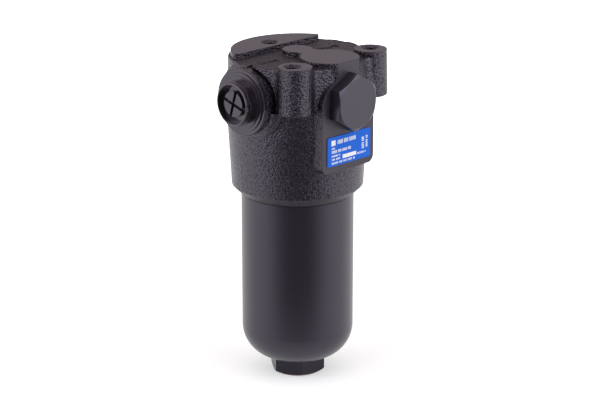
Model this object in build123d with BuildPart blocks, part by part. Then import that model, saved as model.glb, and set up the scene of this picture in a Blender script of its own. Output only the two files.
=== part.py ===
from build123d import *
import math
import os

# High-pressure in-line hydraulic filter: a cast head with a screwed bowl, standing on the bowl's hex.
# Millimetres, +Z up. The origin is on the bowl's axis, at the bottom face of the hex.
# The ports lie along X, the inlet at -X. The indicator port and the nameplate face -Y.

# Bowl
bowl_hex_flats = 30.0
bowl_hex_height = 10.0
bowl_hex_turn = -5.0
bowl_hex_bevel = 1.4
bowl_hex_bevel_angle = 30.0
bowl_length = 114.5
bowl_r = 33.7
bowl_corner_r = 20.0
bowl_wall = 7.7
bowl_floor = 7.0
bowl_inner_corner_r = 14.0
neck_shoulder = 2.8
thread_height = 1.1
thread_start = 3.5
thread_length = 20.0
thread_relief_length = 2.5
thread_relief_depth = 0.7
seal_land_step = 0.4
seal_land_length = 10.0
ring_groove_depth = 2.6
ring_groove_width = 4.4
ring_groove_from_rim = 2.8
rim_chamfer = 0.6

# Head casting
head_height = 86.5
head_gap = 0.5
head_foot_overhang = 0.5
head_chamfer = 5.2
head_wall_swell = 2.1
head_wall_mid_height = 42.0
head_wall_top_draft = 0.5
head_wall_shoulder_draft = 0.1
cast_edge_r = 1.6
machined_step = 3.0
rear_pad_inset = 1.6
rear_pad_reach = 8.2
rear_pad_corner_r = 2.5
key_small_r = 9.0
key_large_r = 17.3
key_large_inset = 15.0
key_neck_width = 13.0
key_corner_r = 1.6

# Mounting bosses, with tapped M10 holes
mount_outset = 1.8
mount_angle = 41.03
rear_mount_inset = 17.5
boss_r = 9.8
boss_shift_x = -1.1
boss_shift_y = -1.4
boss_drop = 27.7
boss_draft = 1.25
boss_face_inset = 0.06
boss_foot_r = 1.2
boss_root_r = 6.0
shoulder_stand_out = 2.1
tap_r = 4.25
tap_depth = 18.0
tap_mouth_r = 5.5

# Ports, G 3/4, one on each side
port_drop = 23.7
port_boss_r = 19.4
port_stand_out = 2.5
port_boss_depth = 18.0
port_boss_draft = 3.0
port_relief_gap = 1.0
port_relief_depth = 8.2
port_relief_draft = 8.0
port_flare_r = 5.0
port_thread_r = 12.1
port_thread_depth = 17.0
port_mouth_chamfer = 1.2
port_passage_r = 9.5

# Indicator port, G 1/2, on the front pad
pad_half_width = 21.5
pad_low_z_drop = 64.5
pad_corner_r = 4.5
pad_rise = 14.2
pad_top_corner_r = 17.0
indicator_bore_r = 10.5
indicator_bore_depth = 18.0
indicator_nose_bore_r = 6.5
indicator_nose_bore_depth = 8.5
indicator_link_r = 2.0
indicator_feed_r = 1.5

# Passages and chamber inside the head
bore_clearance = 0.3
seal_clearance = 0.1
chamber_height = 9.5
spigot_wall = 3.0
spigot_length = 19.0
inlet_drop_r = 6.0
inlet_drop_web = 2.5
inlet_passage_web = 5.0
bypass_bore_r = 6.5
bypass_web = 1.0
bypass_bore_play = 0.7

# Flow arrows cast on the head's top
arrow_height = 0.8
arrow_length = 17.0
arrow_width = 3.0
arrow_head_width = 8.0
arrow_inset = 16.0
arrow_y = -0.8

# Indicator plug
plug_flats = 30.0
plug_turn = -2.2
plug_head_thickness = 8.0
plug_bevel_r = 14.8
plug_bevel_angle = 30.0
plug_shank_length = 15.0
plug_nose_length = 8.5
thread_gap = 0.1
plug_seal_width = 1.8
plug_seal_depth = 1.5
plug_seal_margin = 0.6
nose_ring_d = 1.8

# Plastic port caps
cap_flange_r = 19.45
cap_flange_thickness = 2.0
cap_step_r = 17.6
cap_step_thickness = 0.9
cap_collar_r = 15.6
cap_collar_thickness = 0.7
cap_cup_r = 13.1
cap_cup_length = 5.9
cap_cup_flats = 26.0
cap_flats_turn = 3.0
cap_cup_inner_r = 11.6
cap_cup_depth = 4.2
cap_rim_round = 0.5
cap_disc_r = 7.6
cap_disc_height = 3.0
cap_slot_width = 1.9
cap_slot_turn = 16.5
cap_shank_length = 12.0
cap_shank_wall = 1.6
cap_shank_gap = 0.3

# Nameplate
plate_width = 36.0
plate_height = 17.6
plate_thickness = 0.5
plate_corner_r = 1.5
plate_x = 0.4
plate_below_port = 28.0

# Filter element
element_gap = 3.5
element_foot_gap = 9.0
cap_plate = 2.5
cap_lip_height = 3.0
cap_lip_wall = 0.8
element_neck_wall = 3.35
element_neck_height = 11.0
neck_clearance = 0.15
element_ring_d = 2.2
core_step = 1.2
core_wall = 1.0
core_hole_r = 2.2
core_hole_rows = 6
core_hole_columns = 3
pleat_count = 36
pleat_thickness = 0.7
pleat_outer_gap = 0.3
pleat_inner_gap = 0.2
element_boss_gap = 0.3

# Bypass valve cartridge
cartridge_gap = 0.08
cartridge_wall = 1.0
cartridge_protrusion = 1.0
seat_bore_r = 4.2
seat_thickness = 6.0
window_width = 6.0
window_height = 12.0
window_start = 2.0
poppet_gap = 0.4
poppet_thickness = 2.0
poppet_pilot_gap = 0.3
poppet_pilot_length = 1.5
poppet_lift = 3.0
stem_r = 1.5
stem_guide_gap = 0.05
guide_thickness = 2.5
guide_gap = 0.05
spring_length = 14.0
spring_mean_r = 3.2
spring_wire_r = 0.4
spring_turns = 6
clip_thickness = 0.8
clip_groove_depth = 0.5
clip_width = 1.4
clip_gap_angle = 50.0
clip_play = 0.1

# Spare reach of a cutter past the metal that it takes away
cutter_reach = 1.0

# Levels and radii worked out from the sizes above
head_bottom_z = bowl_length + head_gap
top_z = head_bottom_z + head_height
cast_top_z = top_z - machined_step
port_z = top_z - port_drop
bowl_inner_r = bowl_r - bowl_wall
thread_root_r = bowl_r - neck_shoulder
thread_major_r = thread_root_r + thread_height
seal_land_r = thread_root_r - seal_land_step
bowl_floor_z = bowl_hex_height + bowl_floor
thread_low_z = bowl_length + thread_start
thread_high_z = thread_low_z + thread_length
seal_low_z = thread_high_z + thread_relief_length
rim_z = seal_low_z + seal_land_length
head_bore_r = thread_major_r + bore_clearance
head_seal_r = seal_land_r + seal_clearance
chamber_top_z = rim_z + chamber_height
spigot_low_z = chamber_top_z - spigot_length
head_foot_r = bowl_r + head_foot_overhang
head_wall_low_r = head_foot_r + head_chamfer
head_wall_mid_r = head_wall_low_r + head_wall_swell
head_wall_top_r = head_wall_mid_r - head_wall_top_draft
head_shoulder_r = head_wall_mid_r - head_wall_shoulder_draft
mount_reach = head_wall_top_r + mount_outset
mount_x = mount_reach * math.cos(math.radians(mount_angle))
mount_y = -mount_reach * math.sin(math.radians(mount_angle))
rear_mount_y = head_wall_top_r - rear_mount_inset
rear_pad_r = head_wall_top_r - rear_pad_inset
rear_pad_y = rear_mount_y - rear_pad_reach
boss_x = mount_x + boss_shift_x
boss_y = mount_y + boss_shift_y
boss_low_z = top_z - boss_drop
shoulder_low_r = head_wall_mid_r + shoulder_stand_out
port_face_x = head_wall_mid_r + port_stand_out
port_relief_r = port_boss_r + port_relief_gap
port_relief_x = port_face_x - port_relief_depth
pad_y = head_wall_mid_r
key_large_y = key_large_inset - pad_y
arrow_x = head_wall_top_r - arrow_inset
pad_low_z = top_z - pad_low_z_drop
pad_depth = pad_y / 2
spigot_r = bowl_inner_r - 2 * bypass_bore_r - 2 * bypass_web
spigot_bore_r = spigot_r - spigot_wall
inlet_drop_x = spigot_r + inlet_drop_web + inlet_drop_r
inlet_passage_end_x = spigot_r + inlet_passage_web
bypass_x = spigot_r + bypass_web + bypass_bore_r
element_r = bowl_inner_r - element_gap
element_neck_r = spigot_r + neck_clearance + element_neck_wall
core_outer_r = spigot_r + core_step
element_boss_r = core_outer_r - core_wall - element_boss_gap
cartridge_r = bypass_bore_r - cartridge_gap
cage_r = cartridge_r - cartridge_wall
cartridge_low_z = chamber_top_z - cartridge_protrusion
seat_z = cartridge_low_z + seat_thickness
spring_low_z = seat_z + poppet_thickness
guide_low_z = spring_low_z + spring_length
clip_z = guide_low_z + guide_thickness
stem_high_z = clip_z + clip_thickness
cartridge_high_z = stem_high_z + 2 * clip_play + cartridge_wall
bypass_bore_high_z = stem_high_z + poppet_lift + bypass_bore_play

os.makedirs("parts", exist_ok=True)


def port_plane(side, distance):
    """Plane across a port's axis, facing outwards, at a distance from the bowl's axis."""
    return Plane(origin=(side * distance, 0, port_z), x_dir=(0, side, 0), z_dir=(side, 0, 0))


def front_plane(distance):
    """Plane facing -Y at a distance from the bowl's axis, centred on the indicator port."""
    return Plane(origin=(0, -distance, port_z), x_dir=(1, 0, 0), z_dir=(0, -1, 0))


def is_boss_root(edge):
    """True for the steep edges where a drafted boss meets the shoulder."""
    low, high = sorted((edge @ 0, edge @ 1), key=lambda point: point.Z)
    return high.Z - low.Z > (cast_top_z - boss_low_z) / 2 and low.Y < -boss_r / 2


# Shoulder under the front half of the casting's top, with the two drafted bosses that hang from it
with BuildPart() as shoulder:
    with BuildSketch(Plane.XZ):
        with BuildLine():
            Polyline(
                (0, boss_low_z),
                (-shoulder_low_r, boss_low_z),
                (-head_wall_top_r, cast_top_z),
                (0, cast_top_z),
                close=True,
            )
        make_face()
    revolve(axis=Axis.Z, revolution_arc=180)
    with BuildSketch(Plane.XY.offset(cast_top_z)):
        with Locations((boss_x, boss_y), (-boss_x, boss_y)):
            Circle(boss_r)
    extrude(amount=boss_low_z - cast_top_z, taper=-boss_draft)
    fillet(shoulder.edges().filter_by(is_boss_root), boss_root_r)
    shoulder_foot = shoulder.edges().group_by(Axis.Z)[0]
    fillet(shoulder_foot.filter_by(lambda edge: edge.geom_type != GeomType.LINE), boss_foot_r)
    # The milled front face goes through the shoulder
    split(bisect_by=Plane(origin=(0, -pad_y, 0), z_dir=(0, 1, 0)))

# Flat pad on the front for the indicator plug and the nameplate
with BuildPart() as front_pad:
    with BuildSketch(front_plane(pad_y)) as pad_outline:
        with Locations((0, (pad_low_z - port_z + pad_rise) / 2)):
            Rectangle(2 * pad_half_width, port_z + pad_rise - pad_low_z)
        fillet(pad_outline.vertices().group_by(Axis.Y)[-1], pad_top_corner_r)
        fillet(pad_outline.vertices().group_by(Axis.Y)[0], pad_corner_r)
    extrude(amount=-pad_depth)
    # Keyhole-shaped column over the indicator port, which ends in a machined pad on top
    with BuildSketch(Plane.XY.offset(port_z)) as keyhole:
        Circle(key_small_r)
        with Locations((0, key_large_y)):
            Circle(key_large_r)
        with Locations((0, key_large_y / 2)):
            Rectangle(key_neck_width, -key_large_y)
        neck_corners = keyhole.vertices().filter_by(lambda corner: abs(corner.X) > key_neck_width / 4)
        fillet(neck_corners, key_corner_r)
    extrude(amount=top_z - port_z)
    split(bisect_by=Plane(origin=(0, -pad_y, 0), z_dir=(0, 1, 0)))

# What the port bosses' reliefs take out of the shoulder's ends, with the draft of the casting
with BuildPart() as port_reliefs:
    for side in (-1, 1):
        with BuildSketch(port_plane(side, port_relief_x)):
            Circle(port_relief_r)
        extrude(amount=2 * port_relief_depth, taper=-port_relief_draft)
    split(bisect_by=Plane.XY.offset(boss_low_z))
    split(bisect_by=Plane.XZ)

# Flares round the port bosses, where they run into the wall below and behind the shoulder
with BuildPart() as port_flares:
    with BuildSketch(Plane.XZ):
        with BuildLine():
            flare_x = port_face_x - port_stand_out
            neck_r = port_boss_r - port_relief_gap
            flare_arc = RadiusArc(
                (flare_x, port_z - port_boss_r),
                (flare_x - port_flare_r, port_z - port_boss_r - port_flare_r),
                port_flare_r,
            )
            Polyline(
                flare_arc @ 1,
                (port_relief_x - port_flare_r, port_z - port_boss_r - port_flare_r),
                (port_relief_x - port_flare_r, port_z - neck_r),
                (flare_x, port_z - neck_r),
                flare_arc @ 0,
            )
        make_face()
    revolve(axis=Axis((0, 0, port_z), (1, 0, 0)))
    mirror(about=Plane.YZ)
    split(bisect_by=Plane.XY.offset(cast_top_z), keep=Keep.BOTTOM)
    with BuildSketch(Plane.XZ):
        with Locations((0, (boss_low_z + top_z) / 2)):
            Rectangle(3 * port_face_x, top_z - boss_low_z)
    extrude(amount=2 * port_face_x, mode=Mode.SUBTRACT)

with BuildPart() as head:
    # Drafted wall of the casting, with the turned chamfer at its foot
    with BuildSketch(Plane.XZ):
        with BuildLine():
            Polyline(
                (0, head_bottom_z),
                (head_foot_r, head_bottom_z),
                (head_wall_low_r, head_bottom_z + head_chamfer),
                (head_wall_mid_r, head_bottom_z + head_wall_mid_height),
                (head_shoulder_r, boss_low_z),
                (head_wall_top_r, cast_top_z),
                (0, cast_top_z),
                close=True,
            )
        make_face()
    revolve(axis=Axis.Z)
    fillet(head.edges().group_by(Axis.Z)[-1], cast_edge_r)
    add(shoulder.part)

    # Port bosses, each in a relief of the shoulder's end and with a flare round the rest of it
    add(port_reliefs.part, mode=Mode.SUBTRACT)
    for side in (-1, 1):
        with BuildSketch(port_plane(side, port_face_x)):
            Circle(port_boss_r)
        extrude(amount=-port_boss_depth, taper=-port_boss_draft)
    add(port_flares.part)
    add(front_pad.part)

    # Machined pads on top: the rear segment and the two boss faces
    with BuildSketch(Plane.XY.offset(cast_top_z)) as rear_pad:
        Circle(rear_pad_r)
        with Locations((0, rear_pad_y + head_wall_top_r)):
            Rectangle(3 * head_wall_top_r, 2 * head_wall_top_r, mode=Mode.INTERSECT)
        fillet(rear_pad.vertices(), rear_pad_corner_r)
    extrude(amount=machined_step)
    with BuildSketch(Plane.XY.offset(cast_top_z)):
        with Locations((boss_x, boss_y), (-boss_x, boss_y)):
            Circle(boss_r - boss_face_inset)
    extrude(amount=machined_step)

    # Flow arrows, from the inlet to the outlet
    with BuildSketch(Plane.XY.offset(cast_top_z)):
        with Locations((-arrow_x, arrow_y), (arrow_x, arrow_y)):
            Rectangle(arrow_length - arrow_head_width / 2, arrow_width)
        for tail_x in (-arrow_x, arrow_x):
            with BuildLine():
                neck_x = tail_x + arrow_length / 2 - arrow_head_width / 2
                Polyline(
                    (neck_x, arrow_y - arrow_head_width / 2),
                    (neck_x + arrow_head_width / 2, arrow_y),
                    (neck_x, arrow_y + arrow_head_width / 2),
                    close=True,
                )
            make_face()
    extrude(amount=arrow_height)

    # Bore for the bowl: thread, seal land, then the chamber above the element
    with BuildSketch(Plane.XZ):
        with BuildLine():
            Polyline(
                (0, head_bottom_z),
                (head_bore_r + rim_chamfer, head_bottom_z),
                (head_bore_r, head_bottom_z + rim_chamfer),
                (head_bore_r, seal_low_z - thread_relief_length / 2),
                (head_seal_r, seal_low_z - thread_relief_length / 2 + head_bore_r - head_seal_r),
                (head_seal_r, rim_z),
                (bowl_inner_r, rim_z),
                (bowl_inner_r, chamber_top_z),
                (spigot_r, chamber_top_z),
                (spigot_r, spigot_low_z),
                (spigot_bore_r, spigot_low_z),
                (spigot_bore_r, port_z),
                (0, port_z),
                close=True,
            )
        make_face()
    revolve(axis=Axis.Z, mode=Mode.SUBTRACT)

    # Ports and passages: the inlet drops into the chamber, the spigot's bore leads to the outlet
    for side, passage_end_x in ((-1, inlet_passage_end_x), (1, 0)):
        with BuildSketch(port_plane(side, port_face_x)):
            Circle(port_thread_r)
        extrude(amount=-port_thread_depth, mode=Mode.SUBTRACT)
        with BuildSketch(port_plane(side, port_face_x)):
            Circle(port_thread_r + port_mouth_chamfer)
        extrude(amount=-port_mouth_chamfer, taper=45, mode=Mode.SUBTRACT)
        with BuildSketch(port_plane(side, passage_end_x)):
            Circle(port_passage_r)
        extrude(amount=port_face_x - port_thread_depth - passage_end_x, mode=Mode.SUBTRACT)
    with BuildSketch(Plane.XY.offset(chamber_top_z)):
        with Locations((-inlet_drop_x, 0)):
            Circle(inlet_drop_r)
    extrude(amount=port_z - chamber_top_z, mode=Mode.SUBTRACT)
    with BuildSketch(Plane.XY.offset(chamber_top_z)):
        with Locations((bypass_x, 0)):
            Circle(bypass_bore_r)
    extrude(amount=bypass_bore_high_z - chamber_top_z, mode=Mode.SUBTRACT)

    # Indicator port, its link to the outlet and its feed from the inlet
    with BuildSketch(front_plane(pad_y)):
        Circle(indicator_bore_r)
    extrude(amount=-indicator_bore_depth, mode=Mode.SUBTRACT)
    nose_start_y = pad_y - indicator_bore_depth
    nose_end_y = nose_start_y - indicator_nose_bore_depth
    with BuildSketch(front_plane(nose_start_y)):
        Circle(indicator_nose_bore_r)
    extrude(amount=-indicator_nose_bore_depth, mode=Mode.SUBTRACT)
    with BuildSketch(front_plane(nose_end_y)):
        Circle(indicator_link_r)
    extrude(amount=-nose_end_y, mode=Mode.SUBTRACT)
    feed_start = Vector(-indicator_nose_bore_r - indicator_feed_r, -nose_start_y, port_z)
    feed_end = Vector(-inlet_drop_x, 0, port_z)
    with BuildSketch(Plane(origin=feed_start, z_dir=feed_end - feed_start)):
        Circle(indicator_feed_r)
    extrude(amount=(feed_end - feed_start).length, mode=Mode.SUBTRACT)

    # Tapped mounting holes with countersunk mouths
    with BuildSketch(Plane.XY.offset(top_z)):
        with Locations((mount_x, mount_y), (-mount_x, mount_y), (0, rear_mount_y)):
            Circle(tap_r)
    extrude(amount=-tap_depth, mode=Mode.SUBTRACT)
    with BuildSketch(Plane.XY.offset(top_z)):
        with Locations((mount_x, mount_y), (-mount_x, mount_y), (0, rear_mount_y)):
            Circle(tap_mouth_r)
    extrude(amount=-(tap_mouth_r - tap_r), taper=45, mode=Mode.SUBTRACT)
head.part.label = "head"
export_step(head.part, "parts/head.step")

# Bowl: a deep cup with a threaded neck, a groove for its seal and a hex under its rounded end
with BuildPart() as bowl:
    with BuildSketch(Plane.XZ):
        with BuildLine():
            groove_top_z = rim_z - ring_groove_from_rim
            groove_low_z = groove_top_z - ring_groove_width
            outer = Polyline(
                (bowl_inner_r, rim_z),
                (seal_land_r - rim_chamfer, rim_z),
                (seal_land_r, rim_z - rim_chamfer),
                (seal_land_r, groove_top_z),
                (seal_land_r - ring_groove_depth, groove_top_z),
                (seal_land_r - ring_groove_depth, groove_low_z),
                (seal_land_r, groove_low_z),
                (seal_land_r, seal_low_z),
                (thread_root_r - thread_relief_depth, seal_low_z),
                (thread_root_r - thread_relief_depth, thread_high_z),
                (thread_root_r, thread_high_z),
                (thread_root_r, bowl_length),
                (bowl_r, bowl_length),
                (bowl_r, bowl_hex_height + bowl_corner_r),
            )
            foot = RadiusArc(outer @ 1, (bowl_r - bowl_corner_r, bowl_hex_height), bowl_corner_r)
            base = Polyline(foot @ 1, (0, bowl_hex_height), (0, bowl_floor_z))
            floor_end = (bowl_inner_r - bowl_inner_corner_r, bowl_floor_z)
            floor_line = Line(base @ 1, floor_end)
            wall_start = (bowl_inner_r, bowl_floor_z + bowl_inner_corner_r)
            inner = RadiusArc(floor_end, wall_start, -bowl_inner_corner_r)
            Line(inner @ 1, outer @ 0)
        make_face()
    revolve(axis=Axis.Z)
    with BuildSketch(Plane.XY):
        RegularPolygon(bowl_hex_flats / 2, 6, major_radius=False, rotation=bowl_hex_turn)
    extrude(amount=bowl_hex_height + bowl_floor / 2)
    # The foot's corners are turned off
    with BuildSketch(Plane.XZ) as foot_bevel:
        with BuildLine():
            hex_corner_r = bowl_hex_flats / math.sqrt(3)
            face_r = bowl_hex_flats / 2 - bowl_hex_bevel / 2
            cutter_r = hex_corner_r + cutter_reach
            bevel_height = (cutter_r - face_r) * math.tan(math.radians(bowl_hex_bevel_angle))
            Polyline((face_r, 0), (cutter_r, bevel_height), (cutter_r, 0), close=True)
        make_face()
    revolve(axis=Axis.Z, mode=Mode.SUBTRACT)
bowl.part.label = "bowl"
export_step(bowl.part, "parts/bowl.step")

# Seal of the bowl: a ring of rubber with a backing ring under it, both in the neck's groove
bowl_ring_d = head_seal_r - seal_clearance / 2 - (seal_land_r - ring_groove_depth + seal_clearance / 2)
bowl_ring_mean_r = seal_land_r - ring_groove_depth + seal_clearance / 2 + bowl_ring_d / 2
with BuildPart() as bowl_o_ring:
    with BuildSketch(Plane.XZ):
        with Locations((bowl_ring_mean_r, groove_top_z - seal_clearance - bowl_ring_d / 2)):
            Circle(bowl_ring_d / 2)
    revolve(axis=Axis.Z)
bowl_o_ring.part.label = "bowl_o_ring"
export_step(bowl_o_ring.part, "parts/bowl_o_ring.step")

backup_height = ring_groove_width - bowl_ring_d - 3 * seal_clearance
with BuildPart() as bowl_backup_ring:
    with BuildSketch(Plane.XY.offset(groove_low_z + seal_clearance)):
        Circle(head_seal_r - seal_clearance / 2)
        Circle(seal_land_r - ring_groove_depth + seal_clearance / 2, mode=Mode.SUBTRACT)
    extrude(amount=backup_height)
bowl_backup_ring.part.label = "bowl_backup_ring"
export_step(bowl_backup_ring.part, "parts/bowl_backup_ring.step")

# Plug that closes the indicator port: bevelled hex, threaded shank and a nose with its own seal
shank_r = indicator_bore_r - thread_gap
nose_r = indicator_nose_bore_r - thread_gap
seal_inner_r = indicator_bore_r + plug_seal_margin
with BuildPart() as indicator_plug:
    with BuildSketch(front_plane(pad_y)):
        RegularPolygon(plug_flats / 2, 6, major_radius=False, rotation=30 + plug_turn)
    extrude(amount=plug_head_thickness)
    plug_axis = Axis((0, 0, port_z), (0, -1, 0))
    with BuildSketch(Plane(origin=(0, 0, port_z), x_dir=(1, 0, 0), z_dir=(0, 0, 1))):
        with BuildLine():
            plug_corner_r = plug_flats / math.sqrt(3) + cutter_reach
            bevel_depth = (plug_corner_r - plug_bevel_r) * math.tan(math.radians(plug_bevel_angle))
            plug_face_y = -pad_y - plug_head_thickness
            Polyline(
                (plug_bevel_r, plug_face_y),
                (plug_corner_r, plug_face_y + bevel_depth),
                (plug_corner_r, plug_face_y),
                close=True,
            )
        make_face()
    revolve(axis=plug_axis, mode=Mode.SUBTRACT)
    with BuildSketch(front_plane(pad_y)):
        Circle(seal_inner_r + plug_seal_width)
        Circle(seal_inner_r, mode=Mode.SUBTRACT)
    extrude(amount=plug_seal_depth, mode=Mode.SUBTRACT)
    with BuildSketch(front_plane(pad_y)):
        Circle(shank_r)
    extrude(amount=-plug_shank_length)
    with BuildSketch(front_plane(pad_y - plug_shank_length)):
        Circle(nose_r)
    extrude(amount=-plug_nose_length)
    nose_ring_y = pad_y - plug_shank_length - plug_nose_length + 2 * nose_ring_d
    with BuildSketch(front_plane(nose_ring_y - nose_ring_d / 2 - seal_clearance)):
        Circle(nose_r)
        Circle(nose_r - nose_ring_d, mode=Mode.SUBTRACT)
    extrude(amount=nose_ring_d + 2 * seal_clearance, mode=Mode.SUBTRACT)
indicator_plug.part.label = "indicator_plug"
export_step(indicator_plug.part, "parts/indicator_plug.step")

with BuildPart() as indicator_plug_seal:
    with BuildSketch(front_plane(pad_y)):
        Circle(seal_inner_r + plug_seal_width - seal_clearance / 2)
        Circle(seal_inner_r + seal_clearance / 2, mode=Mode.SUBTRACT)
    extrude(amount=plug_seal_depth - seal_clearance / 2)
indicator_plug_seal.part.label = "indicator_plug_seal"
export_step(indicator_plug_seal.part, "parts/indicator_plug_seal.step")

nose_ring_r = indicator_nose_bore_r - seal_clearance / 2 - nose_ring_d / 2
with BuildPart() as indicator_nose_ring:
    with BuildSketch(Plane(origin=(0, 0, port_z), x_dir=(1, 0, 0), z_dir=(0, 0, 1))):
        with Locations((nose_ring_r, -nose_ring_y)):
            Circle(nose_ring_d / 2)
    revolve(axis=plug_axis)
indicator_nose_ring.part.label = "indicator_nose_ring"
export_step(indicator_nose_ring.part, "parts/indicator_nose_ring.step")


def port_cap(side):
    """Moulded plastic cap pushed into a port: flange, steps, a cup with flats and a crossed disc."""
    face_x = port_face_x + cap_flange_thickness
    cup_x = face_x + cap_step_thickness + cap_collar_thickness
    rim_x = cup_x + cap_cup_length
    with BuildPart() as cap:
        with BuildSketch(port_plane(side, port_face_x)):
            Circle(cap_flange_r)
        extrude(amount=cap_flange_thickness)
        with BuildSketch(port_plane(side, face_x)):
            Circle(cap_step_r)
        extrude(amount=cap_step_thickness)
        with BuildSketch(port_plane(side, face_x + cap_step_thickness)):
            Circle(cap_collar_r)
        extrude(amount=cap_collar_thickness)
        with BuildSketch(port_plane(side, cup_x)):
            Circle(cap_cup_r + cap_rim_round)
            RegularPolygon(
                cap_cup_flats / 2, 8, major_radius=False, rotation=cap_flats_turn, mode=Mode.INTERSECT
            )
        extrude(amount=cap_cup_length - cap_cup_depth / 2)
        with BuildSketch(port_plane(side, cup_x)):
            Circle(cap_cup_r - cap_rim_round)
        extrude(amount=cap_cup_length)
        rim_edge = cap.edges().filter_by(GeomType.CIRCLE).sort_by(Axis.X)[-1 if side > 0 else 0]
        fillet(rim_edge, cap_rim_round)
        with BuildSketch(port_plane(side, rim_x)):
            Circle(cap_cup_inner_r)
        extrude(amount=-cap_cup_depth, mode=Mode.SUBTRACT)
        with BuildSketch(port_plane(side, rim_x - cap_cup_depth)):
            Circle(cap_disc_r)
            Rectangle(3 * cap_disc_r, cap_slot_width, rotation=-cap_slot_turn, mode=Mode.SUBTRACT)
            Rectangle(cap_slot_width, 3 * cap_disc_r, rotation=-cap_slot_turn, mode=Mode.SUBTRACT)
        extrude(amount=cap_disc_height)
        with BuildSketch(port_plane(side, port_face_x)):
            Circle(port_thread_r - cap_shank_gap)
        extrude(amount=-cap_shank_length)
        with BuildSketch(port_plane(side, port_face_x - cap_shank_length)):
            Circle(port_thread_r - cap_shank_gap - cap_shank_wall)
        extrude(amount=cap_shank_length, mode=Mode.SUBTRACT)
    return cap.part


inlet_cap = port_cap(-1)
inlet_cap.label = "inlet_cap"
export_step(inlet_cap, "parts/inlet_cap.step")

outlet_cap = port_cap(1)
outlet_cap.label = "outlet_cap"
export_step(outlet_cap, "parts/outlet_cap.step")

with BuildPart() as nameplate:
    with BuildSketch(front_plane(pad_y)) as plate_outline:
        with Locations((plate_x, -plate_below_port)):
            RectangleRounded(plate_width, plate_height, plate_corner_r)
    extrude(amount=plate_thickness)
nameplate.part.label = "nameplate"
export_step(nameplate.part, "parts/nameplate.step")

# Filter element: two end caps, a pleated pack and a perforated core, pushed on the head's spigot
element_low_z = bowl_floor_z + element_foot_gap
element_high_z = spigot_low_z + cap_plate
pack_low_z = element_low_z + cap_plate
pack_high_z = spigot_low_z
neck_bore_r = spigot_r + neck_clearance
ring_groove_r = neck_bore_r + element_ring_d - neck_clearance
neck_ring_z = element_high_z + element_neck_height / 2
with BuildPart() as element_top_cap:
    with BuildSketch(Plane.XY.offset(pack_high_z)):
        Circle(element_r)
        Circle(neck_bore_r, mode=Mode.SUBTRACT)
    extrude(amount=cap_plate)
    with BuildSketch(Plane.XY.offset(pack_high_z)):
        Circle(element_r)
        Circle(element_r - cap_lip_wall, mode=Mode.SUBTRACT)
    extrude(amount=-cap_lip_height)
    with BuildSketch(Plane.XY.offset(element_high_z)):
        Circle(element_neck_r)
        Circle(neck_bore_r, mode=Mode.SUBTRACT)
    extrude(amount=element_neck_height)
    with BuildSketch(Plane.XY.offset(neck_ring_z - element_ring_d / 2 - seal_clearance)):
        Circle(ring_groove_r)
        Circle(neck_bore_r, mode=Mode.SUBTRACT)
    extrude(amount=element_ring_d + 2 * seal_clearance, mode=Mode.SUBTRACT)
element_top_cap.part.label = "element_top_cap"
export_step(element_top_cap.part, "parts/element_top_cap.step")

with BuildPart() as element_o_ring:
    with BuildSketch(Plane.XZ):
        with Locations((ring_groove_r - element_ring_d / 2, neck_ring_z)):
            Circle((element_ring_d - seal_clearance) / 2)
    revolve(axis=Axis.Z)
element_o_ring.part.label = "element_o_ring"
export_step(element_o_ring.part, "parts/element_o_ring.step")

with BuildPart() as element_bottom_cap:
    with BuildSketch(Plane.XY.offset(element_low_z)):
        Circle(element_r)
    extrude(amount=cap_plate)
    with BuildSketch(Plane.XY.offset(pack_low_z)):
        Circle(element_r)
        Circle(element_r - cap_lip_wall, mode=Mode.SUBTRACT)
        Circle(element_boss_r)
    extrude(amount=cap_lip_height)
element_bottom_cap.part.label = "element_bottom_cap"
export_step(element_bottom_cap.part, "parts/element_bottom_cap.step")

# Perforated core tube: each cutter drills one column of holes through both walls
pack_height = pack_high_z - pack_low_z
with BuildPart() as element_core:
    with BuildSketch(Plane.XY.offset(pack_low_z)):
        Circle(core_outer_r)
        Circle(core_outer_r - core_wall, mode=Mode.SUBTRACT)
    extrude(amount=pack_height)
    for column in range(core_hole_columns):
        turn = math.radians(180 * column / core_hole_columns)
        column_plane = Plane(
            origin=(0, 0, (pack_low_z + pack_high_z) / 2),
            x_dir=(-math.sin(turn), math.cos(turn), 0),
            z_dir=(math.cos(turn), math.sin(turn), 0),
        )
        with BuildSketch(column_plane):
            with GridLocations(1, pack_height / core_hole_rows, 1, core_hole_rows):
                Circle(core_hole_r)
        extrude(amount=core_outer_r + core_wall, both=True, mode=Mode.SUBTRACT)
element_core.part.label = "element_core"
export_step(element_core.part, "parts/element_core.step")


def pleat_star(outer_r, inner_r):
    """Corners of a closed zigzag between two radii, one fold out and one fold in for each pleat."""
    corners = []
    for fold in range(2 * pleat_count):
        radius = outer_r if fold % 2 == 0 else inner_r
        turn = math.pi * fold / pleat_count
        corners.append((radius * math.cos(turn), radius * math.sin(turn)))
    return corners


pleat_outer_r = element_r - cap_lip_wall - pleat_outer_gap
pleat_inner_r = core_outer_r + pleat_inner_gap
with BuildPart() as element_pleats:
    with BuildSketch(Plane.XY.offset(pack_low_z)):
        with BuildLine():
            Polyline(*pleat_star(pleat_outer_r, pleat_inner_r + pleat_thickness), close=True)
        make_face()
        with BuildLine():
            Polyline(*pleat_star(pleat_outer_r - pleat_thickness, pleat_inner_r), close=True)
        make_face(mode=Mode.SUBTRACT)
    extrude(amount=pack_height)
element_pleats.part.label = "element_pleats"
export_step(element_pleats.part, "parts/element_pleats.step")

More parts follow.
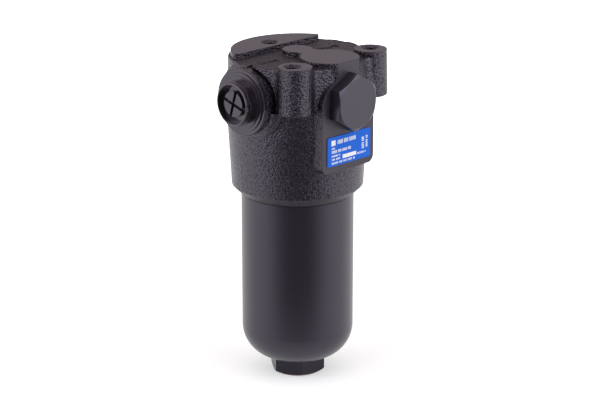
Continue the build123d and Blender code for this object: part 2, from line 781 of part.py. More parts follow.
# Bypass valve: a cartridge screwed up into the bore between the chamber and the outlet
with BuildPart() as bypass_body:
    with BuildSketch(Plane.XY.offset(cartridge_low_z)):
        with Locations((bypass_x, 0)):
            Circle(cartridge_r)
            Circle(seat_bore_r, mode=Mode.SUBTRACT)
    extrude(amount=seat_thickness)
    with BuildSketch(Plane.XY.offset(seat_z)):
        with Locations((bypass_x, 0)):
            Circle(cartridge_r)
            Circle(cage_r, mode=Mode.SUBTRACT)
    extrude(amount=cartridge_high_z - seat_z)
    for window_turn in (0, 90):
        turn = math.radians(window_turn)
        window_plane = Plane(
            origin=(bypass_x, 0, seat_z + window_start + window_height / 2),
            x_dir=(-math.sin(turn), math.cos(turn), 0),
            z_dir=(math.cos(turn), math.sin(turn), 0),
        )
        with BuildSketch(window_plane):
            Rectangle(window_width, window_height)
        extrude(amount=cartridge_r + cartridge_wall, both=True, mode=Mode.SUBTRACT)
    with BuildSketch(Plane.XY.offset(clip_z)):
        with Locations((bypass_x, 0)):
            Circle(cage_r + clip_groove_depth)
            Circle(cage_r, mode=Mode.SUBTRACT)
    extrude(amount=clip_thickness + clip_play, mode=Mode.SUBTRACT)
bypass_body.part.label = "bypass_body"
export_step(bypass_body.part, "parts/bypass_body.step")

with BuildPart() as bypass_poppet:
    with BuildSketch(Plane.XY.offset(seat_z)):
        with Locations((bypass_x, 0)):
            Circle(cage_r - poppet_gap)
    extrude(amount=poppet_thickness)
    with BuildSketch(Plane.XY.offset(seat_z)):
        with Locations((bypass_x, 0)):
            Circle(seat_bore_r - poppet_pilot_gap)
    extrude(amount=-poppet_pilot_length)
    with BuildSketch(Plane.XY.offset(spring_low_z)):
        with Locations((bypass_x, 0)):
            Circle(stem_r)
    extrude(amount=stem_high_z - spring_low_z)
bypass_poppet.part.label = "bypass_poppet"
export_step(bypass_poppet.part, "parts/bypass_poppet.step")

with BuildPart() as bypass_guide:
    with BuildSketch(Plane.XY.offset(guide_low_z)):
        with Locations((bypass_x, 0)):
            Circle(cage_r - guide_gap)
            Circle(stem_r + stem_guide_gap, mode=Mode.SUBTRACT)
    extrude(amount=guide_thickness)
bypass_guide.part.label = "bypass_guide"
export_step(bypass_guide.part, "parts/bypass_guide.step")

with BuildPart() as bypass_spring:
    with BuildLine() as coil:
        Helix(
            pitch=(spring_length - 2 * spring_wire_r) / spring_turns,
            height=spring_length - 2 * spring_wire_r,
            radius=spring_mean_r,
            center=(bypass_x, 0, spring_low_z + spring_wire_r),
        )
    with BuildSketch(Plane(origin=coil.line @ 0, z_dir=coil.line % 0)):
        Circle(spring_wire_r)
    sweep(is_frenet=True)
bypass_spring.part.label = "bypass_spring"
export_step(bypass_spring.part, "parts/bypass_spring.step")

with BuildPart() as bypass_clip:
    with BuildSketch(Plane.XY.offset(clip_z + clip_play / 2)):
        with Locations((bypass_x, 0)):
            Circle(cage_r + clip_groove_depth - clip_play)
            Circle(cage_r + clip_groove_depth - clip_play - clip_width, mode=Mode.SUBTRACT)
        with BuildLine():
            clip_reach = 2 * cartridge_r
            half_gap = math.radians(clip_gap_angle / 2)
            Polyline(
                (bypass_x, 0),
                (bypass_x + clip_reach * math.cos(half_gap), clip_reach * math.sin(half_gap)),
                (bypass_x + clip_reach * math.cos(half_gap), -clip_reach * math.sin(half_gap)),
                close=True,
            )
        make_face(mode=Mode.SUBTRACT)
    extrude(amount=clip_thickness)
bypass_clip.part.label = "bypass_clip"
export_step(bypass_clip.part, "parts/bypass_clip.step")
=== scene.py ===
import math
import random
import bpy
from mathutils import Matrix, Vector


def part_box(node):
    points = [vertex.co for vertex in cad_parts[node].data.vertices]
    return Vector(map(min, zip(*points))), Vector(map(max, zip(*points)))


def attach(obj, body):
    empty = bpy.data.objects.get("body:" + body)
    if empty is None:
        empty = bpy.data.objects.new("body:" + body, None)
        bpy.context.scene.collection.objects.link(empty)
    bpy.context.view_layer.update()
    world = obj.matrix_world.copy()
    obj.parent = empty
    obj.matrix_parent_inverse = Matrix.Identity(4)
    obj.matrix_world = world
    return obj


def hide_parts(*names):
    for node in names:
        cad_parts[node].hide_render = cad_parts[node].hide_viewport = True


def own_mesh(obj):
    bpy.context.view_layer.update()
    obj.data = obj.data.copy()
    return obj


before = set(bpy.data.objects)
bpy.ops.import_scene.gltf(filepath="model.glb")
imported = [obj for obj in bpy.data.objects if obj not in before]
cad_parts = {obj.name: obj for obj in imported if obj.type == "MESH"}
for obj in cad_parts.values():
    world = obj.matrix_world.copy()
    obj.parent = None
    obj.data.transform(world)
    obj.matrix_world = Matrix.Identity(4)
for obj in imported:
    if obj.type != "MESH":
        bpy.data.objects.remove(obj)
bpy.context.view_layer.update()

mm = 0.001      # all settings are in millimetres, but those of the studio, which are in metres


def linearColour(code):
    # "#rrggbb" as typed in a paint program, turned into the linear values that a socket takes
    channels = [int(code[start:start + 2], 16) / 255 for start in (1, 3, 5)]
    return tuple(c / 12.92 if c <= 0.04045 else ((c + 0.055) / 1.055) ** 2.4 for c in channels) + (1.0,)


# One node with its settings; an input takes a plain value or the socket that feeds it.
# Inputs by number: a Mix blends 2 and 3 as numbers or 6 and 7 as colours (then its output is 2),
# and a Map Range takes 1..2 to 3..4
def addNode(tree, kind, inputs=None, **settings):
    node = tree.nodes.new(kind)
    for name, value in settings.items():
        setattr(node, name, value)
    for key, value in (inputs or {}).items():
        if isinstance(value, bpy.types.NodeSocket):
            tree.links.new(value, node.inputs[key])
        else:
            node.inputs[key].default_value = value
    return node


def startMaterial(name):
    # an empty material with its shader, and the piece's own coordinates in metres
    material = bpy.data.materials.new(name)
    material.use_nodes = True
    tree = material.node_tree
    tree.nodes.clear()
    shader = addNode(tree, "ShaderNodeBsdfPrincipled")
    addNode(tree, "ShaderNodeOutputMaterial", {"Surface": shader.outputs["BSDF"]})
    place = addNode(tree, "ShaderNodeTexCoord").outputs["Object"]
    return material, tree, shader, place


# Camera at the photograph's viewing angle
cameraSet = {
    "place": (-0.84753, -0.84753, 0.4982),
    "tilt": 71.97,
    "turn": -45.07,
    "lens": 125.86,
    "sensor": 36.0,
}
cameraData = bpy.data.cameras.new("camera")
cameraData.lens = cameraSet["lens"]
cameraData.sensor_width = cameraSet["sensor"]
camera = bpy.data.objects.new("camera", cameraData)
camera.location = cameraSet["place"]
camera.rotation_euler = (math.radians(cameraSet["tilt"]), 0, math.radians(cameraSet["turn"]))
bpy.context.scene.collection.objects.link(camera)
bpy.context.scene.camera = camera
bpy.context.scene.view_settings.view_transform = "Standard"

# Studio: a wide soft box on either side, white paper behind and a dim room in front
studio = {
    "boxAngles": (-61, 61),       # from the camera's side, seen from above
    "boxDistance": 1.6,
    "boxHeight": 0.75,
    "boxSize": (2.2, 1.5),
    "boxPower": 21.0,
    "topPlace": (0.01, 0.01, 1.8),
    "topSize": (1.2, 1.2),
    "topPower": 0.6,
    "tint": "#fbf6ff",
    "aim": (0, 0, 0.1),
    "roomFront": 0.20,
    "roomBack": 0.95,
    "roomTint": "#fff1f4",
    "dimWedge": (0.45, 0.92),     # cosine of the angle from the camera's side: room white, room dim
}
viewTurn = math.atan2(cameraSet["place"][1], cameraSet["place"][0])
frontward = (math.cos(viewTurn), math.sin(viewTurn), 0)


def addBox(name, place, size, power):
    data = bpy.data.lights.new(name, "AREA")
    data.shape = "RECTANGLE"
    data.size, data.size_y = size
    data.energy = power
    data.color = linearColour(studio["tint"])[:3]
    lamp = bpy.data.objects.new(name, data)
    lamp.location = place
    lamp.rotation_euler = (Vector(studio["aim"]) - Vector(place)).to_track_quat("-Z", "Y").to_euler()
    lamp.visible_camera = False
    bpy.context.scene.collection.objects.link(lamp)


for number, angle in enumerate(studio["boxAngles"]):
    turn = viewTurn + math.radians(angle)
    reach = studio["boxDistance"]
    boxPlace = (reach * math.cos(turn), reach * math.sin(turn), studio["boxHeight"])
    addBox(f"softBox{number}", boxPlace, studio["boxSize"], studio["boxPower"])
addBox("topBox", studio["topPlace"], studio["topSize"], studio["topPower"])

# The room is dim before the object, so that its middle stays dark, and plain white to the eye
white = (1, 1, 1, 1)
world = bpy.data.worlds.new("studio")
world.use_nodes = True
worldTree = world.node_tree
worldTree.nodes.clear()
direction = addNode(worldTree, "ShaderNodeTexCoord").outputs["Generated"]
facing = addNode(worldTree, "ShaderNodeVectorMath", {0: direction, 1: frontward}, operation="DOT_PRODUCT")
wedgeStart, wedgeEnd = studio["dimWedge"]
roomLevel = addNode(worldTree, "ShaderNodeMapRange", {
    0: facing.outputs["Value"], 1: wedgeStart, 2: wedgeEnd, 3: studio["roomBack"], 4: studio["roomFront"]})
eye = addNode(worldTree, "ShaderNodeLightPath").outputs["Is Camera Ray"]
worldLevel = addNode(worldTree, "ShaderNodeMix", {0: eye, 2: roomLevel.outputs[0], 3: 1.0}, data_type="FLOAT")
roomColour = addNode(worldTree, "ShaderNodeMix", {
    0: eye, 6: linearColour(studio["roomTint"]), 7: white}, data_type="RGBA")
sky = addNode(worldTree, "ShaderNodeBackground", {
    "Color": roomColour.outputs[2], "Strength": worldLevel.outputs[0]})
addNode(worldTree, "ShaderNodeOutputWorld", {"Surface": sky.outputs[0]})
bpy.context.scene.world = world

# The paper is white to the eye and to reflections; past dimStart, towards the dim room, only to the eye, and
# to the other rays it is painted dark there as shade
floorSet = {
    "reach": 4.0,
    "colour": "#dadedd",
    "roughness": 0.9,
    "shine": 0.1,
    "glow": 0.36,
    "glowTint": "#f9fffb",   # takes the lamps' faint pink off the paper
    # painted shade on the paper before the object, seen by every ray but the eye's
    "dimColour": "#6b686e",
    "dimStart": 0.05,        # m before the object's middle
    "dimEnd": 0.16,
    "whiteStart": 0.25,      # m from the middle, where the eye sees the paper turn to pure white
    "whiteEnd": 0.80,
}
floorMesh = bpy.data.meshes.new("floor")
edge = floorSet["reach"]
floorCorners = [(-edge, -edge, 0), (edge, -edge, 0), (edge, edge, 0), (-edge, edge, 0)]
floorMesh.from_pydata(floorCorners, [], [(0, 1, 2, 3)])
floor = bpy.data.objects.new("floor", floorMesh)
bpy.context.scene.collection.objects.link(floor)


def makePaper():
    # matt white paper without much shine; in the wedge before the object the other rays find a painted shade
    material, tree, shader, place = startMaterial("whitePaper")
    shader.inputs["Roughness"].default_value = floorSet["roughness"]
    shader.inputs["Specular IOR Level"].default_value = floorSet["shine"]
    shader.inputs["Emission Color"].default_value = linearColour(floorSet["glowTint"])
    rays = addNode(tree, "ShaderNodeLightPath").outputs
    eyeRay = rays["Is Camera Ray"]

    # dim: 1 in the wedge of floor before the object, for every ray but the eye's, where the paper is painted
    # dark as shade and stops glowing
    ahead = addNode(tree, "ShaderNodeVectorMath", {
        0: place, 1: frontward}, operation="DOT_PRODUCT").outputs["Value"]
    away = addNode(tree, "ShaderNodeVectorMath", {0: place}, operation="LENGTH").outputs["Value"]
    bearing = addNode(tree, "ShaderNodeMath", {0: ahead, 1: away}, operation="DIVIDE").outputs[0]
    dim = addNode(tree, "ShaderNodeMapRange", {0: bearing, 1: wedgeStart, 2: wedgeEnd}).outputs[0]
    past = addNode(tree, "ShaderNodeMapRange", {
        0: ahead, 1: floorSet["dimStart"], 2: floorSet["dimEnd"]}).outputs[0]
    notEye = addNode(tree, "ShaderNodeMath", {0: 1.0, 1: eyeRay}, operation="SUBTRACT").outputs[0]
    for share in (past, notEye):
        dim = addNode(tree, "ShaderNodeMath", {0: dim, 1: share}, operation="MULTIPLY").outputs[0]
    colour = addNode(tree, "ShaderNodeMix", {
        0: dim, 6: linearColour(floorSet["colour"]), 7: linearColour(floorSet["dimColour"])},
        data_type="RGBA").outputs[2]
    tree.links.new(colour, shader.inputs["Base Color"])

    # glow: for the eye and for reflections, and full white to the eye far off, where no horizon shows
    seen = addNode(tree, "ShaderNodeMath", {
        0: eyeRay, 1: rays["Is Glossy Ray"]}, operation="MAXIMUM").outputs[0]
    lit = addNode(tree, "ShaderNodeMapRange", {0: dim, 3: floorSet["glow"], 4: 0.0}).outputs[0]
    glow = addNode(tree, "ShaderNodeMath", {0: seen, 1: lit}, operation="MULTIPLY").outputs[0]
    far = addNode(tree, "ShaderNodeMapRange", {
        0: away, 1: floorSet["whiteStart"], 2: floorSet["whiteEnd"]}).outputs[0]
    glow = addNode(tree, "ShaderNodeMath", {0: far, 1: eyeRay, 2: glow}, operation="MULTIPLY_ADD").outputs[0]
    tree.links.new(glow, shader.inputs["Emission Strength"])
    return material


floorMesh.materials.append(makePaper())
print("studio ready")

# Black paint dipped over a sand casting: the sand's grain shows through the film and catches the light, with
# painted shade in its hollows; the milled faces are smooth under it
castPaint = {
    "dark": "#0f0e11",
    "light": "#19171b",
    # painted shade in the grain's pits
    "pitShadeColour": "#060607",
    "milledDark": "#252327",
    "milledLight": "#2c292d",
    "patch": 9.0,            # mm, the size of the dark and light patches
    "sheen": "#f0eaff",      # the film's faint violet reflection
    "castIor": 1.70,
    "topIor": 1.45,          # the cast top under the milled pads is duller
    "milledIor": 1.56,
    "castRoughness": 0.27,
    "topRoughness": 0.62,
    "milledRoughness": 0.44,
    "padRoughness": 0.56,
    "shine": 0.5,
    "pitShadeShine": 0.18,        # what the painted shade in the pits keeps of it
    "pitShadeRange": (0.36, 0.50),    # value of the grain where a pit's painted shade is deepest, and where it ends
    "grain": 1.15,           # mm; the sand's real grain of 0.3 to 0.5 mm is too fine to show
    "grainHeight": 0.68,
    "fineGrain": 0.60,
    "fineHeight": 0.20,
    "milledGrain": 0.35,
    "milledHeight": 0.010,
    "smoothWall": 0.74,      # what the long wall under the shoulder keeps of the grain's height
    "coarseRange": (165.0, 176.0),   # mm over the floor, where the coarse grain begins and is full
    "topRange": (0.6, 0.9),  # upward part of the normal, from which a face counts as the cast top
    "topStep": 4.0,          # mm, how far the cast top lies under the pads, at most
    "edge": 0.7,             # mm, the soft edges of the casting under the film
    "foot": 5.1,             # mm, the height of the turned chamfer
    "skin": 0.1,             # mm, how near to the head's box a face is milled
}


def makeCastPaint():
    material, tree, shader, place = startMaterial("blackPaintOnCastIron")
    headLow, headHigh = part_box("head")
    x, y, z = addNode(tree, "ShaderNodeSeparateXYZ", {0: place}).outputs
    farX = addNode(tree, "ShaderNodeMath", {0: x}, operation="ABSOLUTE").outputs[0]

    # the milled faces lie on the head's box: the pads on top, the front pad, the foot and the two ports
    skin = castPaint["skin"] * mm
    onTop = addNode(tree, "ShaderNodeMath", {0: z, 1: headHigh.z - skin}, operation="GREATER_THAN").outputs[0]
    milled = onTop
    for along, limit, operation in (
            (y, headLow.y + skin, "LESS_THAN"),
            (z, headLow.z + castPaint["foot"] * mm, "LESS_THAN"),
            (farX, headHigh.x - skin, "GREATER_THAN")):
        face = addNode(tree, "ShaderNodeMath", {0: along, 1: limit}, operation=operation).outputs[0]
        milled = addNode(tree, "ShaderNodeMath", {0: milled, 1: face}, operation="MAXIMUM").outputs[0]

    noise = {}
    for label, detail in (("grain", 1.5), ("fineGrain", 1.0), ("patch", 2.0), ("milledGrain", 1.0)):
        noise[label] = addNode(tree, "ShaderNodeTexNoise", {
            "Vector": place, "Scale": 1 / (castPaint[label] * mm), "Detail": detail}).outputs[0]

    # the shoulder and the bosses kept a coarser grain, with deeper pits, than the long wall below them, and
    # their pits get more painted shade
    coarseFrom, coarseFull = castPaint["coarseRange"]
    coarse = addNode(tree, "ShaderNodeMapRange", {
        0: z, 1: coarseFrom * mm, 2: coarseFull * mm, 3: castPaint["smoothWall"], 4: 1.0}).outputs[0]
    # painted shade: the grain's hollows are painted near black, more so on the shoulder and the bosses
    pitDeep, pitEnd = castPaint["pitShadeRange"]
    pitShade = addNode(tree, "ShaderNodeMapRange", {
        0: noise["grain"], 1: pitDeep, 2: pitEnd, 3: 1.0, 4: 0.0}).outputs[0]
    pitShade = addNode(tree, "ShaderNodeMath", {0: pitShade, 1: coarse}, operation="MULTIPLY").outputs[0]

    paint = []
    for dark, light in (("dark", "light"), ("milledDark", "milledLight")):
        paint.append(addNode(tree, "ShaderNodeMix", {
            0: noise["patch"], 6: linearColour(castPaint[dark]), 7: linearColour(castPaint[light])},
            data_type="RGBA").outputs[2])
    castColour = addNode(tree, "ShaderNodeMix", {
        0: pitShade, 6: paint[0], 7: linearColour(castPaint["pitShadeColour"])}, data_type="RGBA").outputs[2]
    colour = addNode(tree, "ShaderNodeMix", {
        0: milled, 6: castColour, 7: paint[1]}, data_type="RGBA").outputs[2]
    tree.links.new(colour, shader.inputs["Base Color"])

    # the cast top: faces that look up, a few millimetres under the milled pads
    normal = addNode(tree, "ShaderNodeTexCoord").outputs["Normal"]
    upward = addNode(tree, "ShaderNodeSeparateXYZ", {0: normal}).outputs["Z"]
    topFrom, topFull = castPaint["topRange"]
    upward = addNode(tree, "ShaderNodeMapRange", {0: upward, 1: topFrom, 2: topFull}).outputs[0]
    high = addNode(tree, "ShaderNodeMath", {
        0: z, 1: headHigh.z - castPaint["topStep"] * mm}, operation="GREATER_THAN").outputs[0]
    onCastTop = addNode(tree, "ShaderNodeMath", {0: upward, 1: high}, operation="MULTIPLY").outputs[0]

    finish = {}
    for socket, kind in (("Roughness", "Roughness"), ("IOR", "Ior")):
        value = addNode(tree, "ShaderNodeMapRange", {
            0: onCastTop, 3: castPaint["cast" + kind], 4: castPaint["top" + kind]}).outputs[0]
        finish[socket] = addNode(tree, "ShaderNodeMix", {
            0: milled, 2: value, 3: castPaint["milled" + kind]}, data_type="FLOAT").outputs[0]
    finish["Roughness"] = addNode(tree, "ShaderNodeMix", {
        0: onTop, 2: finish["Roughness"], 3: castPaint["padRoughness"]}, data_type="FLOAT").outputs[0]
    # painted shade on the reflection as well: the pits keep little of the film's shine
    shine = addNode(tree, "ShaderNodeMapRange", {
        0: pitShade, 3: castPaint["shine"], 4: castPaint["pitShadeShine"]}).outputs[0]
    finish["Specular IOR Level"] = addNode(tree, "ShaderNodeMix", {
        0: milled, 2: shine, 3: castPaint["shine"]}, data_type="FLOAT").outputs[0]
    for socket, value in finish.items():
        tree.links.new(value, shader.inputs[socket])
    shader.inputs["IOR"].default_value = castPaint["castIor"]      # kept where a link is dropped
    shader.inputs["Specular Tint"].default_value = linearColour(castPaint["sheen"])

    grainLift = addNode(tree, "ShaderNodeMath", {
        0: noise["grain"], 1: castPaint["grainHeight"] * mm}, operation="MULTIPLY").outputs[0]
    castLift = addNode(tree, "ShaderNodeMath", {
        0: noise["fineGrain"], 1: castPaint["fineHeight"] * mm, 2: grainLift},
        operation="MULTIPLY_ADD").outputs[0]
    castLift = addNode(tree, "ShaderNodeMath", {0: castLift, 1: coarse}, operation="MULTIPLY").outputs[0]
    filmLift = addNode(tree, "ShaderNodeMath", {
        0: noise["milledGrain"], 1: castPaint["milledHeight"] * mm}, operation="MULTIPLY").outputs[0]
    lift = addNode(tree, "ShaderNodeMix", {0: milled, 2: castLift, 3: filmLift}, data_type="FLOAT").outputs[0]
    soft = addNode(tree, "ShaderNodeBevel", {"Radius": castPaint["edge"] * mm}, samples=4).outputs[0]
    bump = addNode(tree, "ShaderNodeBump", {"Strength": 1.0, "Distance": 1.0, "Height": lift, "Normal": soft})
    tree.links.new(bump.outputs[0], shader.inputs["Normal"])
    return material


def makeSatin(name, settings):
    # a material that is even at a glance: slow patches of colour, a fine grain and, where asked, soft edges
    # and a painted shade at its foot
    material, tree, shader, place = startMaterial(name)
    patches = addNode(tree, "ShaderNodeTexNoise", {
        "Vector": place, "Scale": 1 / (settings["patch"] * mm), "Detail": 2.0}).outputs[0]
    colour = addNode(tree, "ShaderNodeMix", {
        0: patches, 6: linearColour(settings["dark"]), 7: linearColour(settings["light"])},
        data_type="RGBA").outputs[2]
    if "foot" in settings:
        # below the foot's top, painted shade: the lowest part of the piece is darker and less shiny, and
        # reddish at its lowest edge
        foot = settings["foot"]
        z = addNode(tree, "ShaderNodeSeparateXYZ", {0: place}).outputs["Z"]
        above = addNode(tree, "ShaderNodeMapRange", {
            0: z, 1: (foot["top"] - foot["blend"]) * mm, 2: foot["top"] * mm}).outputs[0]
        aboveEdge = addNode(tree, "ShaderNodeMapRange", {
            0: z, 1: foot["edge"] * mm, 2: (foot["edge"] + foot["blend"]) * mm}).outputs[0]
        footShadeAndRedEdge = addNode(tree, "ShaderNodeMix", {
            0: aboveEdge, 6: linearColour(foot["redEdge"]), 7: linearColour(foot["colour"])},
            data_type="RGBA").outputs[2]
        colour = addNode(tree, "ShaderNodeMix", {
            0: above, 6: footShadeAndRedEdge, 7: colour}, data_type="RGBA").outputs[2]
        shine = addNode(tree, "ShaderNodeMapRange", {0: above, 3: foot["shine"], 4: 0.5}).outputs[0]
        tree.links.new(shine, shader.inputs["Specular IOR Level"])
    tree.links.new(colour, shader.inputs["Base Color"])
    shader.inputs["Roughness"].default_value = settings["roughness"]
    shader.inputs["Metallic"].default_value = settings.get("metallic", 0.0)
    shader.inputs["IOR"].default_value = settings.get("ior", 1.5)
    shader.inputs["Specular Tint"].default_value = linearColour(settings.get("sheen", "#ffffff"))
    grain = addNode(tree, "ShaderNodeTexNoise", {
        "Vector": place, "Scale": 1 / (settings["grain"] * mm), "Detail": 1.0}).outputs[0]
    lift = addNode(tree, "ShaderNodeMath", {
        0: grain, 1: settings["height"] * mm}, operation="MULTIPLY").outputs[0]
    bump = addNode(tree, "ShaderNodeBump", {"Strength": 1.0, "Distance": 1.0, "Height": lift})
    if "edge" in settings:
        soft = addNode(tree, "ShaderNodeBevel", {"Radius": settings["edge"] * mm}, samples=4)
        tree.links.new(soft.outputs[0], bump.inputs["Normal"])
    tree.links.new(bump.outputs[0], shader.inputs["Normal"])
    return material


# In each of these, patch, grain, height and edge are in mm: the size of the colour's patches, the grain and
# its height, and the radius that the light finds on an edge

# Black phosphated and oiled steel, drawn: an even satin with almost no grain; the milled hexagon under it is
# painted darker and less shiny as shade near the floor, and its lower edge is a little red
bowlSteel = {
    "dark": "#18161a", "light": "#1d1b20", "patch": 25.0, "roughness": 0.30, "ior": 1.60,
    "sheen": "#eee8ff", "grain": 0.40, "height": 0.006,
    "foot": {      # top of the painted shade, the reddish edge and the blend between the colours in mm over the floor
        "top": 9.6, "edge": 0.9, "blend": 0.6, "colour": "#131116", "redEdge": "#45241f", "shine": 0.28}}
# The same steel, turned and milled: a little paler and softer, with broken edges that catch the light
plugSteel = {
    "dark": "#100f12", "light": "#161417", "patch": 8.0, "roughness": 0.32, "ior": 1.70,
    "sheen": "#f0e9ff", "grain": 0.35, "height": 0.008, "edge": 0.45}
# Moulded black polyethylene: glossy, a little wavy from the mould, with a violet reflection
capPlastic = {
    "dark": "#19171b", "light": "#211e22", "patch": 6.0, "roughness": 0.17, "ior": 1.72,
    "sheen": "#f2eafb", "grain": 2.2, "height": 0.05, "edge": 0.25}
# Blue lacquer on aluminium sheet: a flat, clear blue with a soft shine
plateBlue = {
    "dark": "#065ec8", "light": "#0a64d2", "patch": 5.0, "roughness": 0.50, "ior": 1.30,
    "grain": 0.30, "height": 0.003, "edge": 0.25}
# White screen print: thick and matt
printWhite = {
    "dark": "#dfe6e2", "light": "#ebf0ec", "patch": 2.0, "roughness": 0.55,
    "grain": 0.30, "height": 0.004}
# Nitrile rubber, moulded: dull black
rubber = {
    "dark": "#1b1b1c", "light": "#232324", "patch": 4.0, "roughness": 0.62,
    "grain": 0.20, "height": 0.006}
# Turned PTFE: waxy white
backing = {
    "dark": "#dcd8cc", "light": "#ebe8de", "patch": 5.0, "roughness": 0.45,
    "grain": 0.30, "height": 0.004}
# Glass fibre cloth, pleated: matt cream with the weave's tooth
media = {
    "dark": "#cbbf9f", "light": "#ded4b8", "patch": 3.0, "roughness": 0.80,
    "grain": 0.25, "height": 0.030}
# Zinc plated sheet, pressed and perforated: bright grey with soft clouds
zinc = {
    "dark": "#9a9da1", "light": "#b4b6b9", "patch": 4.0, "roughness": 0.32, "metallic": 1.0,
    "grain": 0.20, "height": 0.004}
# Turned steel, bare and oiled: a clean grey with a clear shine
turned = {
    "dark": "#85868a", "light": "#9c9da0", "patch": 4.0, "roughness": 0.30, "metallic": 1.0,
    "grain": 0.15, "height": 0.004}

castMaterial = makeCastPaint()
bowlMaterial = makeSatin("phosphatedDrawnSteel", bowlSteel)
capMaterial = makeSatin("mouldedBlackPolyethylene", capPlastic)
steelMaterial = makeSatin("turnedSteel", turned)
finishes = [
    (castMaterial, ["head"]),
    (bowlMaterial, ["bowl"]),
    (makeSatin("phosphatedTurnedSteel", plugSteel), ["indicator_plug"]),
    (capMaterial, ["inlet_cap", "outlet_cap"]),
    (makeSatin("blueLacqueredAluminium", plateBlue), ["nameplate"]),
    (makeSatin("mouldedNitrileRubber", rubber), [
        "bowl_o_ring", "indicator_plug_seal", "indicator_nose_ring", "element_o_ring"]),
    (makeSatin("turnedWhitePtfe", backing), ["bowl_backup_ring"]),
    (makeSatin("pleatedGlassFibre", media), ["element_pleats"]),
    (makeSatin("zincPlatedSheet", zinc), ["element_top_cap", "element_bottom_cap", "element_core"]),
    (steelMaterial, ["bypass_body", "bypass_poppet", "bypass_guide", "bypass_spring", "bypass_clip"]),
]
for material, nodeNames in finishes:
    for nodeName in nodeNames:
        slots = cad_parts[nodeName].data.materials
        slots.clear()
        slots.append(material)
print("finishes on", sum(len(nodeNames) for _, nodeNames in finishes), "pieces")


def startShape(name, sizes):
    # a Geometry Nodes tree with named sizes as its inputs
    tree = bpy.data.node_groups.new(name, "GeometryNodeTree")
    for label, kind in sizes.items():
        tree.interface.new_socket(label, in_out="INPUT", socket_type=kind)
    tree.interface.new_socket("Geometry", in_out="OUTPUT", socket_type="NodeSocketGeometry")
    return tree, addNode(tree, "NodeGroupInput").outputs


def endShape(tree, geometry, material):
    # the export drops instances, so they are made real
    real = addNode(tree, "GeometryNodeRealizeInstances", {"Geometry": geometry}).outputs[0]
    painted = addNode(tree, "GeometryNodeSetMaterial", {"Geometry": real, "Material": material}).outputs[0]
    addNode(tree, "NodeGroupOutput", {0: painted})


def makePiece(name, tree, sizes, body):
    # the tree's result at these sizes, as a plain mesh that rides on a body
    piece = bpy.data.objects.new(name, bpy.data.meshes.new(name + "Start"))
    bpy.context.scene.collection.objects.link(piece)
    modifier = piece.modifiers.new("shape", "NODES")
    modifier.node_group = tree
    for socket in tree.interface.items_tree:
        if socket.in_out == "INPUT":
            modifier[socket.identifier] = sizes[socket.name]
    graph = bpy.context.evaluated_depsgraph_get()
    mesh = bpy.data.meshes.new_from_object(piece.evaluated_get(graph), depsgraph=graph)
    piece.modifiers.remove(modifier)
    piece.data = mesh
    mesh.name = name
    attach(piece, body)
    print(name, len(mesh.polygons), "faces")
    return piece


# Knurled edge of the port caps' flanges, for the fingers
knurl = {
    "count": 92,
    "rib": 0.46,         # radius of a rib
    "inset": 0.06,       # of its axis, from the flange's edge
    "margin": 0.15,      # bare edge of the flange on either side
    "flange": 2.0,
}
knurlTree, knurlIn = startShape("knurl", {
    "Count": "NodeSocketInt", "Radius": "NodeSocketFloat", "Rib": "NodeSocketFloat",
    "Width": "NodeSocketFloat", "Centre": "NodeSocketVector"})
ring = addNode(knurlTree, "GeometryNodeMeshCircle", {
    "Vertices": knurlIn["Count"], "Radius": knurlIn["Radius"]})
rib = addNode(knurlTree, "GeometryNodeMeshCylinder", {
    "Vertices": 6, "Radius": knurlIn["Rib"], "Depth": knurlIn["Width"]})
ribs = addNode(knurlTree, "GeometryNodeInstanceOnPoints", {
    "Points": ring.outputs[0], "Instance": rib.outputs["Mesh"]}).outputs[0]
ribs = addNode(knurlTree, "GeometryNodeTransform", {
    "Geometry": ribs, "Translation": knurlIn["Centre"], "Rotation": (0, math.radians(90), 0)}).outputs[0]
endShape(knurlTree, ribs, capMaterial)
for capName, side in (("inlet_cap", -1), ("outlet_cap", 1)):
    capLow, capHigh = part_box(capName)
    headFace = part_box("head")[1].x
    flangeR = (capHigh.z - capLow.z) / 2
    makePiece(capName + "_knurl", knurlTree, {
        "Count": knurl["count"],
        "Radius": flangeR - knurl["inset"] * mm,
        "Rib": knurl["rib"] * mm,
        "Width": (knurl["flange"] - 2 * knurl["margin"]) * mm,
        "Centre": (side * (headFace + knurl["flange"] / 2 * mm), 0, (capHigh.z + capLow.z) / 2),
    }, "head")


def startHelix(name, steps, sides, material):
    # a bar with this many sides, wound upwards from Start round the Z axis through it
    tree, sizes = startShape(name, {
        "Radius": "NodeSocketFloat", "Bar": "NodeSocketFloat", "Pitch": "NodeSocketFloat",
        "Turns": "NodeSocketFloat", "Start": "NodeSocketVector"})
    rise = addNode(tree, "ShaderNodeMath", {0: sizes["Turns"], 1: sizes["Pitch"]}, operation="MULTIPLY")
    helix = addNode(tree, "GeometryNodeCurveSpiral", {
        "Resolution": steps, "Rotations": sizes["Turns"], "Start Radius": sizes["Radius"],
        "End Radius": sizes["Radius"], "Height": rise.outputs[0]}).outputs[0]
    helix = addNode(tree, "GeometryNodeSetCurveNormal", {"Curve": helix}, mode="Z_UP").outputs[0]
    section = addNode(tree, "GeometryNodeCurvePrimitiveCircle", {
        "Resolution": sides, "Radius": sizes["Bar"]}, mode="RADIUS").outputs["Curve"]
    bar = addNode(tree, "GeometryNodeCurveToMesh", {
        "Curve": helix, "Profile Curve": section, "Fill Caps": True}).outputs[0]
    bar = addNode(tree, "GeometryNodeTransform", {"Geometry": bar, "Translation": sizes["Start"]}).outputs[0]
    endShape(tree, bar, material)
    return tree


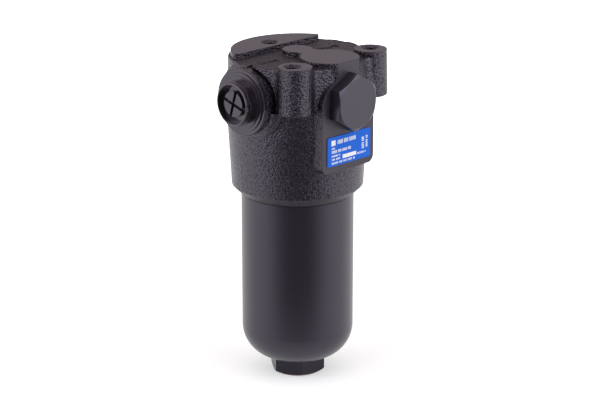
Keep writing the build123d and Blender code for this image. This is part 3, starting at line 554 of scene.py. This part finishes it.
# Thread on the bowl's neck, M64 x 2, seen when the bowl is unscrewed
thread = {
    "root": 30.9,        # radius of the neck, where the ridge's axis runs
    "height": 0.9,
    "pitch": 2.0,
    "start": 119.5,      # above the floor
    "turns": 8.5,
    "steps": 96,         # in a turn
    "sides": 4,
}
makePiece("bowl_thread", startHelix("thread", thread["steps"], thread["sides"], bowlMaterial), {
    "Radius": thread["root"] * mm,
    "Bar": thread["height"] * mm,
    "Pitch": thread["pitch"] * mm,
    "Turns": thread["turns"],
    "Start": (0, 0, thread["start"] * mm),
}, "bowl")

# Spring of the bypass valve: it stands on the poppet
coil = {
    "wire": 0.4,         # radius of the wire
    "turns": 6.0,
    "lift": 3.0,         # the poppet's travel
    "steps": 32,
    "sides": 12,
}
coilLow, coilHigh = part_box("bypass_spring")
guideLow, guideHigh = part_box("bypass_guide")
coilLength = coilHigh.z - coilLow.z
coilMiddle = (guideLow + guideHigh) / 2
coilPiece = makePiece("bypass_coil", startHelix("coil", coil["steps"], coil["sides"], steelMaterial), {
    "Radius": (coilHigh.y - coilLow.y) / 2 - coil["wire"] * mm,
    "Bar": coil["wire"] * mm,
    "Pitch": (coilLength - 2 * coil["wire"] * mm) / coil["turns"],
    "Turns": coil["turns"],
    "Start": (coilMiddle.x, coilMiddle.y, coilLow.z + coil["wire"] * mm),
}, "head")
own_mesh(coilPiece)
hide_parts("bypass_spring")

# Print on the nameplate: a plain square, rows of plain strokes and a blank box, with no lettering.
# Each row is left, bottom, right, top in mm from the plate's lower left corner
printSet = {
    "seed": 7,
    "lift": 0.03,                 # thickness of the ink
    "stroke": 0.55,
    "gap": 0.38,
    "groupGap": 1.1,
    "group": (3, 6),              # strokes before a wider gap
    "solid": [(3.2, 12.4, 6.6, 15.6), (12.6, 3.3, 24.0, 5.6)],
    "rows": [
        (8.4, 12.8, 25.0, 15.2), (3.6, 10.2, 7.4, 11.2), (3.6, 7.8, 19.6, 9.5), (3.6, 5.6, 11.0, 6.6),
        (3.6, 3.5, 11.4, 4.6), (3.6, 1.2, 23.0, 2.4), (25.0, 3.2, 32.0, 4.4)],
    "columns": [(28.6, 6.0, 30.6, 13.6), (32.0, 6.4, 33.6, 14.0)],
}


def printField(corners, faces, left, bottom, right, top):
    # one flat stroke of ink with its four thin sides, standing on the plate
    start = len(corners)
    for back in (0, 1):
        corners += [(left, back, bottom), (right, back, bottom), (right, back, top), (left, back, top)]
    a, b, c, d, e, f, g, h = range(start, start + 8)
    faces += [(a, b, c, d), (h, g, f, e), (b, a, e, f), (c, b, f, g), (d, c, g, h), (a, d, h, e)]


def makePrint():
    draw = random.Random(printSet["seed"])
    corners, faces = [], []
    for field in printSet["solid"]:
        printField(corners, faces, *field)
    for upright, rows in ((False, printSet["rows"]), (True, printSet["columns"])):
        for left, bottom, right, top in rows:
            along, stop = (bottom, top) if upright else (left, right)
            strokesLeft = draw.randint(*printSet["group"])
            while along + printSet["stroke"] <= stop:
                end = along + printSet["stroke"]
                if upright:
                    printField(corners, faces, left, along, right, end)
                else:
                    printField(corners, faces, along, bottom, end, top)
                strokesLeft -= 1
                along = end + (printSet["gap"] if strokesLeft else printSet["groupGap"])
                strokesLeft = strokesLeft or draw.randint(*printSet["group"])
    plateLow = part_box("nameplate")[0]
    front = plateLow.y - printSet["lift"] * mm
    placed = [(plateLow.x + u * mm, front + back * printSet["lift"] * mm, plateLow.z + v * mm)
              for u, back, v in corners]
    mesh = bpy.data.meshes.new("nameplate_print")
    mesh.from_pydata(placed, [], faces)
    mesh.materials.append(makeSatin("whiteScreenPrint", printWhite))
    piece = bpy.data.objects.new("nameplate_print", mesh)
    bpy.context.scene.collection.objects.link(piece)
    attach(piece, "head")
    print("nameplate_print", len(faces), "faces")


makePrint()
